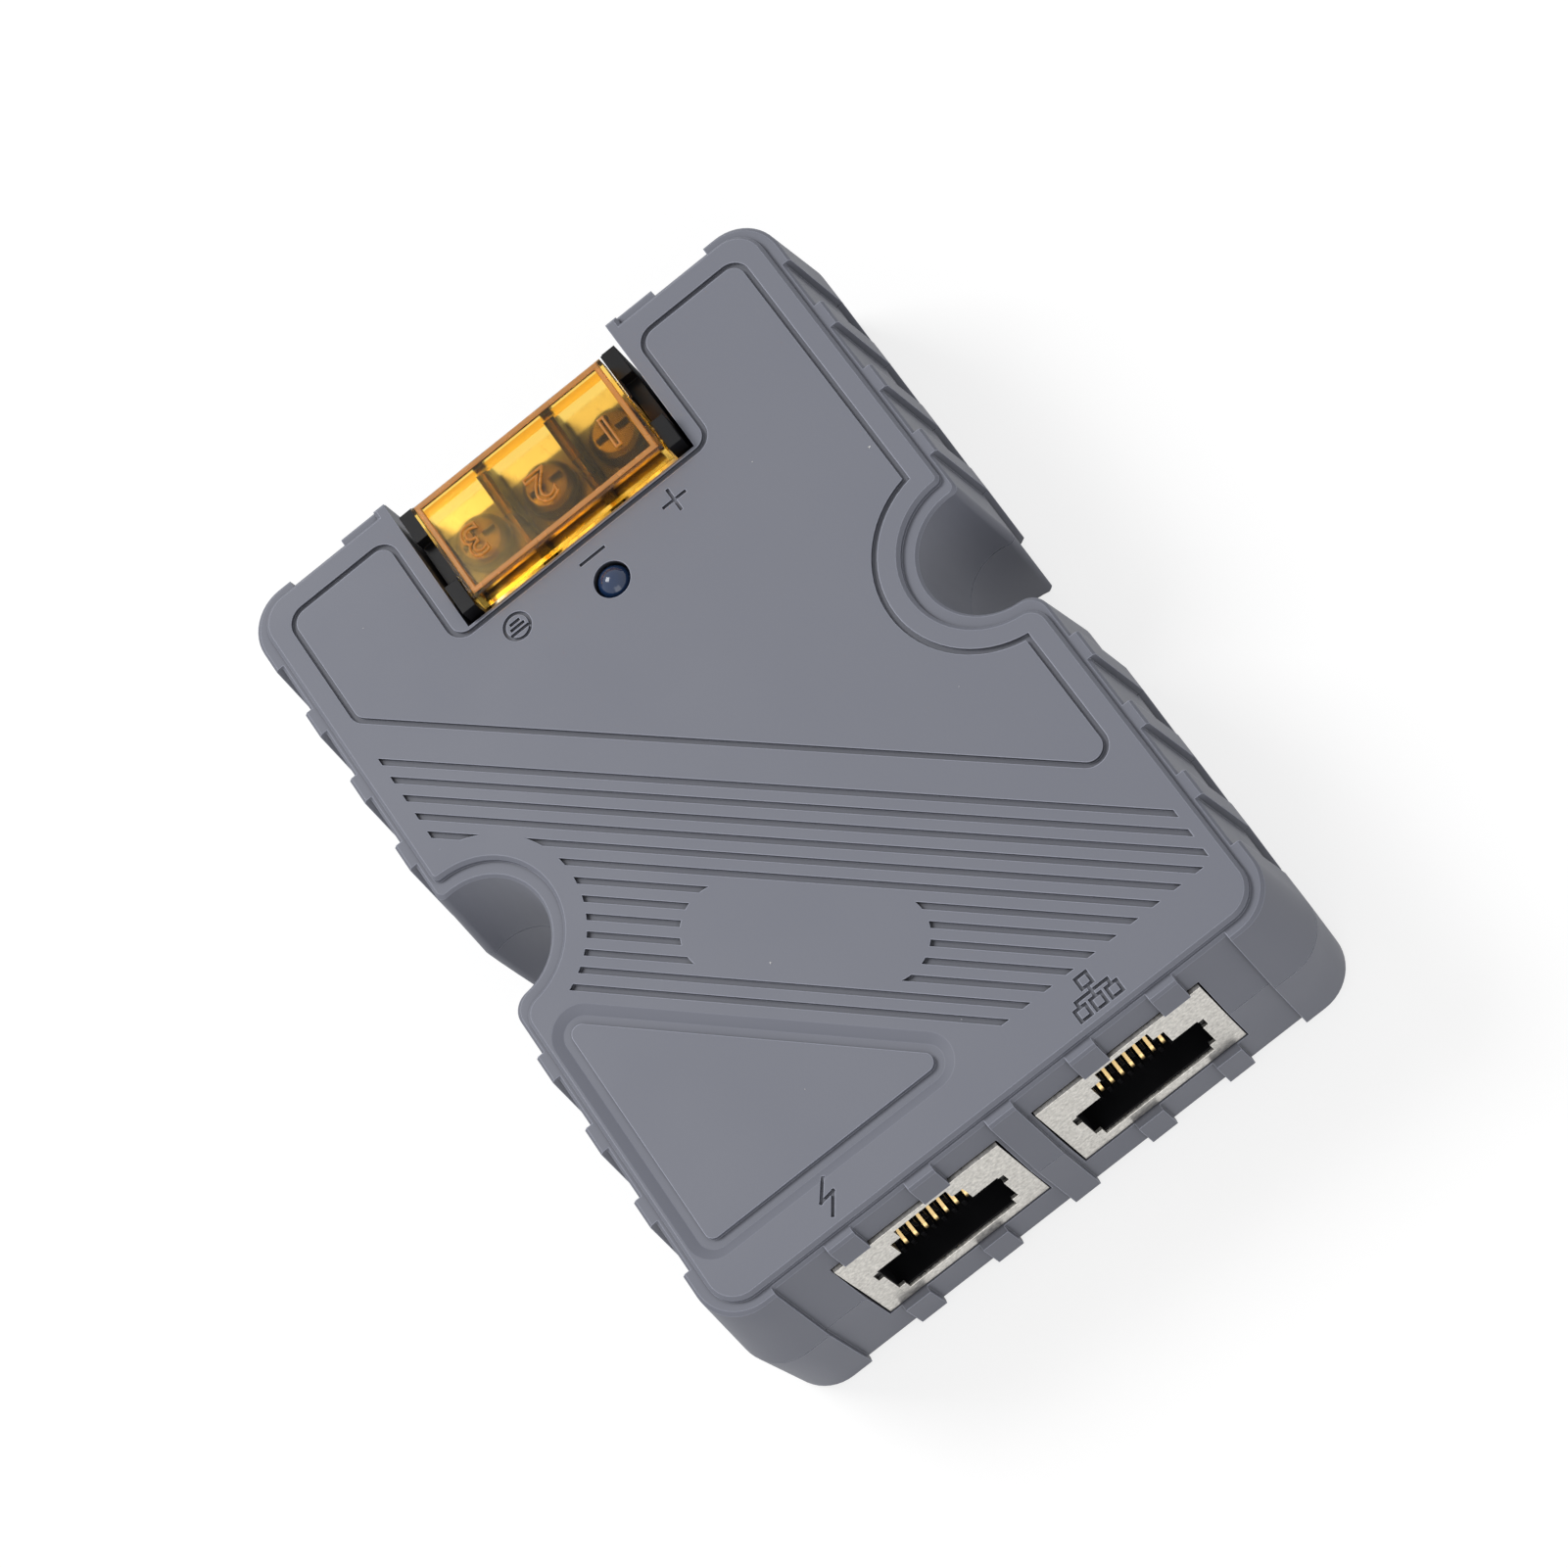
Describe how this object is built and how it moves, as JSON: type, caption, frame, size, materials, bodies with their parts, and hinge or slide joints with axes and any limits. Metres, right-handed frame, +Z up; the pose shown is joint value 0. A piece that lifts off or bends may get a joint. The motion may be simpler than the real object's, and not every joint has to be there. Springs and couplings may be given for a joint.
{
  "type": "passive power over ethernet injector",
  "caption": "Grey ribbed two-shell box with shielded network jacks at one end and a screw terminal under a hinged clear amber cover at the other; puts power on a network cable.",
  "frame": {"origin": "centre of the case's base, on the surface it rests on", "axes": "+Z up through the lamp and the cover, +Y towards the screw terminal, the jacks face -Y, the powered jack is at -X and the data jack at +X"},
  "size_m": [0.0562, 0.0794, 0.0248],
  "materials": {
    "case_plastic": "fine satin texture",
    "black_plastic": "satin",
    "component_black": "matt moulded",
    "board": "green lacquer",
    "shield_metal": "brushed nickel plate",
    "screw_steel": "zinc plate",
    "plated_steel": "nickel plate",
    "terminal_brass": "plated",
    "contact_gold": "gold flash",
    "can_metal": "satin can",
    "lamp_blue": "tinted lens",
    "amber_clear": "clear moulded"
  },
  "bodies": {
    "housing": {"upper_shell": "case_plastic", "lower_shell": "case_plastic", "case_screws": "screw_steel", "circuit_board": "board", "poe_jack_shield": "shield_metal", "poe_jack_insert": "black_plastic", "poe_jack_contacts": "contact_gold", "lan_jack_shield": "shield_metal", "lan_jack_insert": "black_plastic", "lan_jack_contacts": "contact_gold", "terminal_block": "black_plastic", "terminal_plate_1": "terminal_brass", "terminal_plate_2": "terminal_brass", "terminal_plate_3": "terminal_brass", "power_lamp": "lamp_blue", "network_transformer_1": "component_black", "network_transformer_2": "component_black", "common_mode_choke": "component_black", "filter_capacitor": "can_metal", "surge_diode": "component_black", "board_fuse": "component_black"},
    "cover": {"terminal_cover": "amber_clear"},
    "clamp_1": {"clamp_washer_1": "plated_steel"},
    "screw_1": {"terminal_screw_1": "plated_steel"},
    "clamp_2": {"clamp_washer_2": "plated_steel"},
    "screw_2": {"terminal_screw_2": "plated_steel"},
    "clamp_3": {"clamp_washer_3": "plated_steel"},
    "screw_3": {"terminal_screw_3": "plated_steel"}
  },
  "joints": [
    {"name": "cover_hinge", "type": "hinge", "parent": "housing", "child": "cover", "pos_m": [0, 0.0268, 0.023], "axis": [1, 0, 0], "range_deg": [0, 100]},
    {"name": "clamp_1_lift", "type": "slide", "parent": "housing", "child": "clamp_1", "axis": [0, 0, 1], "range_m": [0, 0.0015]},
    {"name": "screw_1_turn", "type": "hinge", "parent": "clamp_1", "child": "screw_1", "pos_m": [0.0071, 0.031, 0.0195], "axis": [0, 0, 1], "range_deg": [0, 1080]},
    {"name": "clamp_2_lift", "type": "slide", "parent": "housing", "child": "clamp_2", "axis": [0, 0, 1], "range_m": [0, 0.0015]},
    {"name": "screw_2_turn", "type": "hinge", "parent": "clamp_2", "child": "screw_2", "pos_m": [0, 0.031, 0.0195], "axis": [0, 0, 1], "range_deg": [0, 1080]},
    {"name": "clamp_3_lift", "type": "slide", "parent": "housing", "child": "clamp_3", "axis": [0, 0, 1], "range_m": [0, 0.0015]},
    {"name": "screw_3_turn", "type": "hinge", "parent": "clamp_3", "child": "screw_3", "pos_m": [-0.0071, 0.031, 0.0195], "axis": [0, 0, 1], "range_deg": [0, 1080]}
  ],
  "couplings": [
    {"joint": "screw_1_turn", "follows": "clamp_1_lift", "rad_per_m": 12566},
    {"joint": "screw_2_turn", "follows": "clamp_2_lift", "rad_per_m": 12566},
    {"joint": "screw_3_turn", "follows": "clamp_3_lift", "rad_per_m": 12566}
  ]
}
